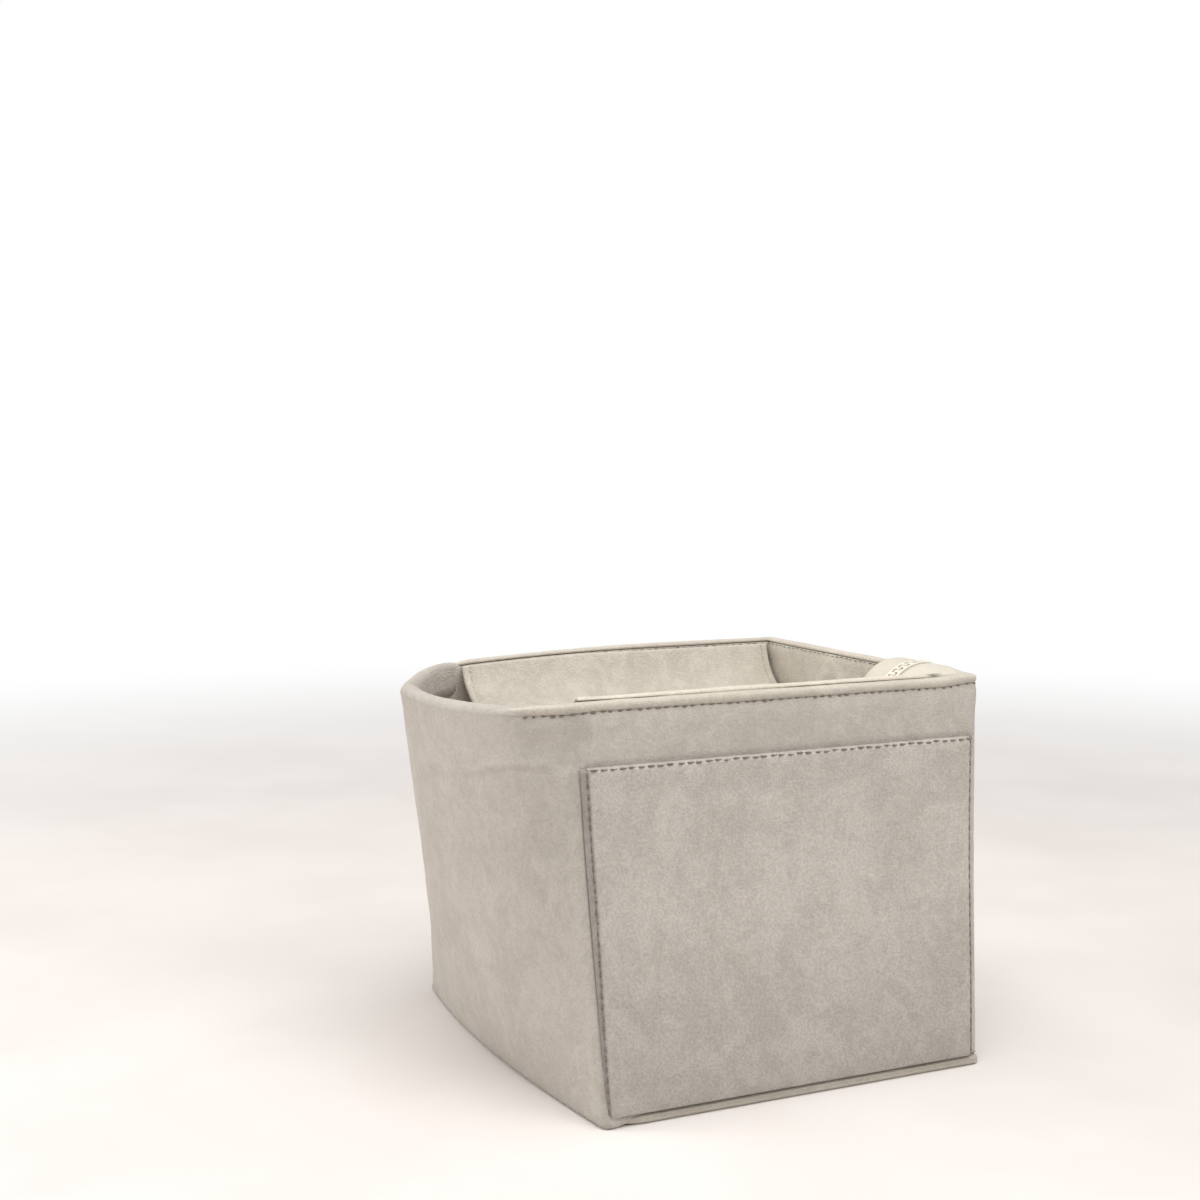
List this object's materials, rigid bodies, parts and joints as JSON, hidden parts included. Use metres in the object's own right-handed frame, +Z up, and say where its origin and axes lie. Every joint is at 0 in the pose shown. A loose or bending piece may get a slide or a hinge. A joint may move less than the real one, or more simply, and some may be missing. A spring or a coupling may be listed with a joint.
{
  "type": "purse organizer insert",
  "caption": "Open-topped suede organizer insert for a tote, with stiffened walls, a soft bulging end, a zipped front compartment, a patch pocket and a tuck-in cover flap.",
  "frame": {"origin": "middle of the sewn footprint, on the surface that the insert stands on", "axes": "+X along the front wall to the right, +Y from the front wall to the back, +Z up"},
  "size_m": [0.1761, 0.1539, 0.1319],
  "materials": {
    "outer_suede": "napped microsuede, beige grey",
    "lining_suede": "napped microsuede, slightly lighter",
    "binding_suede": "folded microsuede strip",
    "stiffener_board": "pressed fibre board, off white",
    "felt_padding": "soft felt",
    "zip_tape": "woven polyester tape, cream",
    "zip_resin": "moulded resin, cream"
  },
  "bodies": {
    "insert": {"outer_front_panel": "outer_suede", "outer_left_panel": "outer_suede", "outer_back_panel": "outer_suede", "outer_right_panel": "outer_suede", "outer_base_panel": "outer_suede", "base_welt": "outer_suede", "front_pocket_panel": "outer_suede", "rim_binding": "binding_suede", "lining_front": "lining_suede", "lining_left": "lining_suede", "lining_back": "lining_suede", "lining_right": "lining_suede", "lining_base": "lining_suede", "compartment_divider": "lining_suede", "zip_front_facing": "lining_suede", "front_board": "stiffener_board", "back_board": "stiffener_board", "right_board": "stiffener_board", "base_board": "stiffener_board", "left_padding": "felt_padding", "zip_tape_front": "zip_tape", "zip_tape_back": "zip_tape", "zip_teeth_front": "zip_resin", "zip_teeth_back": "zip_resin", "zip_bottom_stop": "zip_resin", "zip_top_stop_front": "zip_resin", "zip_top_stop_back": "zip_resin"},
    "slider": {"zip_slider": "zip_resin"},
    "pull": {"zip_pull": "zip_resin"},
    "cover_flap": {"cover_flap_face": "lining_suede", "cover_flap_backing": "lining_suede"}
  },
  "joints": [
    {"name": "zip_slide", "type": "slide", "parent": "insert", "child": "slider", "axis": [-1, 0, 0], "range_m": [0, 0.066]},
    {"name": "pull_swing", "type": "hinge", "parent": "slider", "child": "pull", "pos_m": [0.00581, -0.039, 0.1133], "axis": [0, -1, 0], "range_deg": [0, 165]},
    {"name": "flap_swing", "type": "hinge", "parent": "insert", "child": "cover_flap", "pos_m": [0, 0.06288, 0.127], "axis": [-1, 0, 0], "range_deg": [0, 65]}
  ]
}
